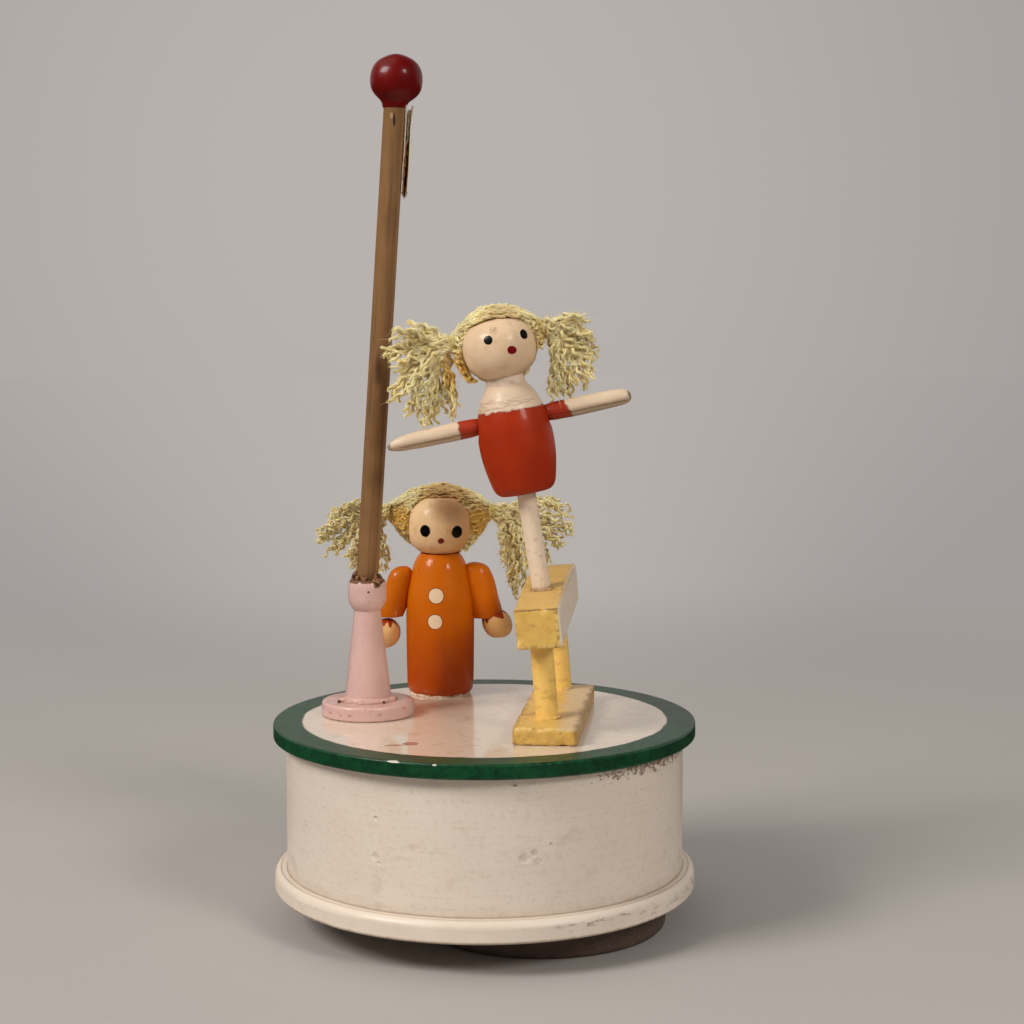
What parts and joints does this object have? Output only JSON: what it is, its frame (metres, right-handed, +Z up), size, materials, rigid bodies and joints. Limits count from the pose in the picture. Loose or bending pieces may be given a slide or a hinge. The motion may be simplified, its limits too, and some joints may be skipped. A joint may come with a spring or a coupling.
{
  "type": "music box",
  "caption": "Round wooden clockwork music box that turns on its foot, with a gymnast on a vaulting horse, a peg doll and a leaning flagpole on its lid.",
  "frame": {"origin": "centre of the underside of the round foot, on the axis that the case turns on", "axes": "+Z up along the turning axis, -Y towards the front of the figures' scene, +X to the viewer's right"},
  "size_m": [0.1, 0.1, 0.203],
  "materials": {
    "foot_wood": "dark brown-grey paint, satin, worn at the rim",
    "cream_wood": "cream paint, satin, aged and specked",
    "lid_wood": "cream lacquer, glossy, with a dark green painted rim",
    "pink_wood": "pale pink paint, satin, chipped",
    "dowel_wood": "brown stained wood, worn",
    "red_wood": "deep red lacquer, glossy",
    "yellow_wood": "yellow paint, satin, worn at the edges",
    "orange_wood": "orange lacquer, glossy, with two cream painted dots",
    "doll_arm_wood": "orange lacquer sleeve over a bare hand",
    "gymnast_wood": "red painted suit below a cream neck",
    "gymnast_arm_wood": "cream paint with a red painted sleeve",
    "skin_wood": "cream paint, satin",
    "face_wood": "pale lacquered bead with a painted face",
    "bare_wood": "bare dowel",
    "yarn": "pale blond wool, fuzzy",
    "thread": "twisted thread",
    "flag_paper": "aged off-white paper, matte",
    "glue": "old dried glue, dark brown",
    "steel": "turned steel",
    "spring_steel": "hardened blued steel",
    "brass": "turned brass",
    "cast_alloy": "cast zinc alloy, grey",
    "fly_plastic": "off-white moulded plastic"
  },
  "bodies": {
    "foot": {"foot_disc": "foot_wood", "foot_insert": "brass", "winding_arbor": "steel", "crown_wheel": "brass"},
    "case": {"bottom_board": "cream_wood", "drum_wall": "cream_wood", "lid": "lid_wood", "board_screws": "steel", "pole_stand": "pink_wood", "flagpole": "dowel_wood", "pole_bead": "red_wood", "socket_glue": "glue", "flag": "flag_paper", "flag_glue": "glue", "horse_board": "yellow_wood", "horse_post_front": "yellow_wood", "horse_post_rear": "yellow_wood", "horse_beam": "yellow_wood", "gymnast_leg": "skin_wood", "gymnast_body": "gymnast_wood", "gymnast_arm_left": "gymnast_arm_wood", "gymnast_arm_right": "gymnast_arm_wood", "gymnast_neck_dowel": "bare_wood", "gymnast_head": "face_wood", "gymnast_hair": "yarn", "gymnast_tail_left": "yarn", "gymnast_tail_right": "yarn", "gymnast_hair_ties": "thread", "doll_body": "orange_wood", "doll_arm_left": "doll_arm_wood", "doll_arm_right": "doll_arm_wood", "doll_neck_dowel": "bare_wood", "doll_head": "face_wood", "doll_hair": "yarn", "doll_tail_left": "yarn", "doll_tail_right": "yarn", "doll_hair_ties": "thread", "bedplate": "cast_alloy", "movement_screws": "steel", "spring_housing": "steel", "mainspring": "spring_steel", "comb": "spring_steel", "comb_screws": "steel", "bearing_bracket_inner": "brass", "bearing_bracket_outer": "brass", "bracket_screws": "steel", "governor_frame": "brass"},
    "cylinder": {"note_cylinder": "brass", "cylinder_arbor": "steel", "cylinder_pinion": "brass", "great_wheel": "brass"},
    "governor": {"governor_arbor": "steel", "governor_pinion": "steel", "governor_wheel": "brass"},
    "worm": {"worm_shaft": "steel", "fly": "fly_plastic"}
  },
  "joints": [
    {"name": "case_spin", "type": "hinge", "parent": "foot", "child": "case", "pos_m": [0, 0, 0], "axis": [0, 0, 1], "continuous": true},
    {"name": "cylinder_spin", "type": "hinge", "parent": "case", "child": "cylinder", "pos_m": [0, 0, 0.0238], "axis": [-0.9025, 0.4307, 0], "continuous": true},
    {"name": "governor_spin", "type": "hinge", "parent": "case", "child": "governor", "pos_m": [-0.00388, -0.00812, 0.0238], "axis": [-0.9025, 0.4307, 0], "continuous": true},
    {"name": "worm_spin", "type": "hinge", "parent": "case", "child": "worm", "pos_m": [-0.03991, 0.00298, 0.0238], "axis": [0, 0, 1], "continuous": true}
  ],
  "couplings": [
    {"joint": "cylinder_spin", "follows": "case_spin", "ratio": 2},
    {"joint": "governor_spin", "follows": "case_spin", "ratio": -10},
    {"joint": "worm_spin", "follows": "case_spin", "ratio": 300}
  ]
}
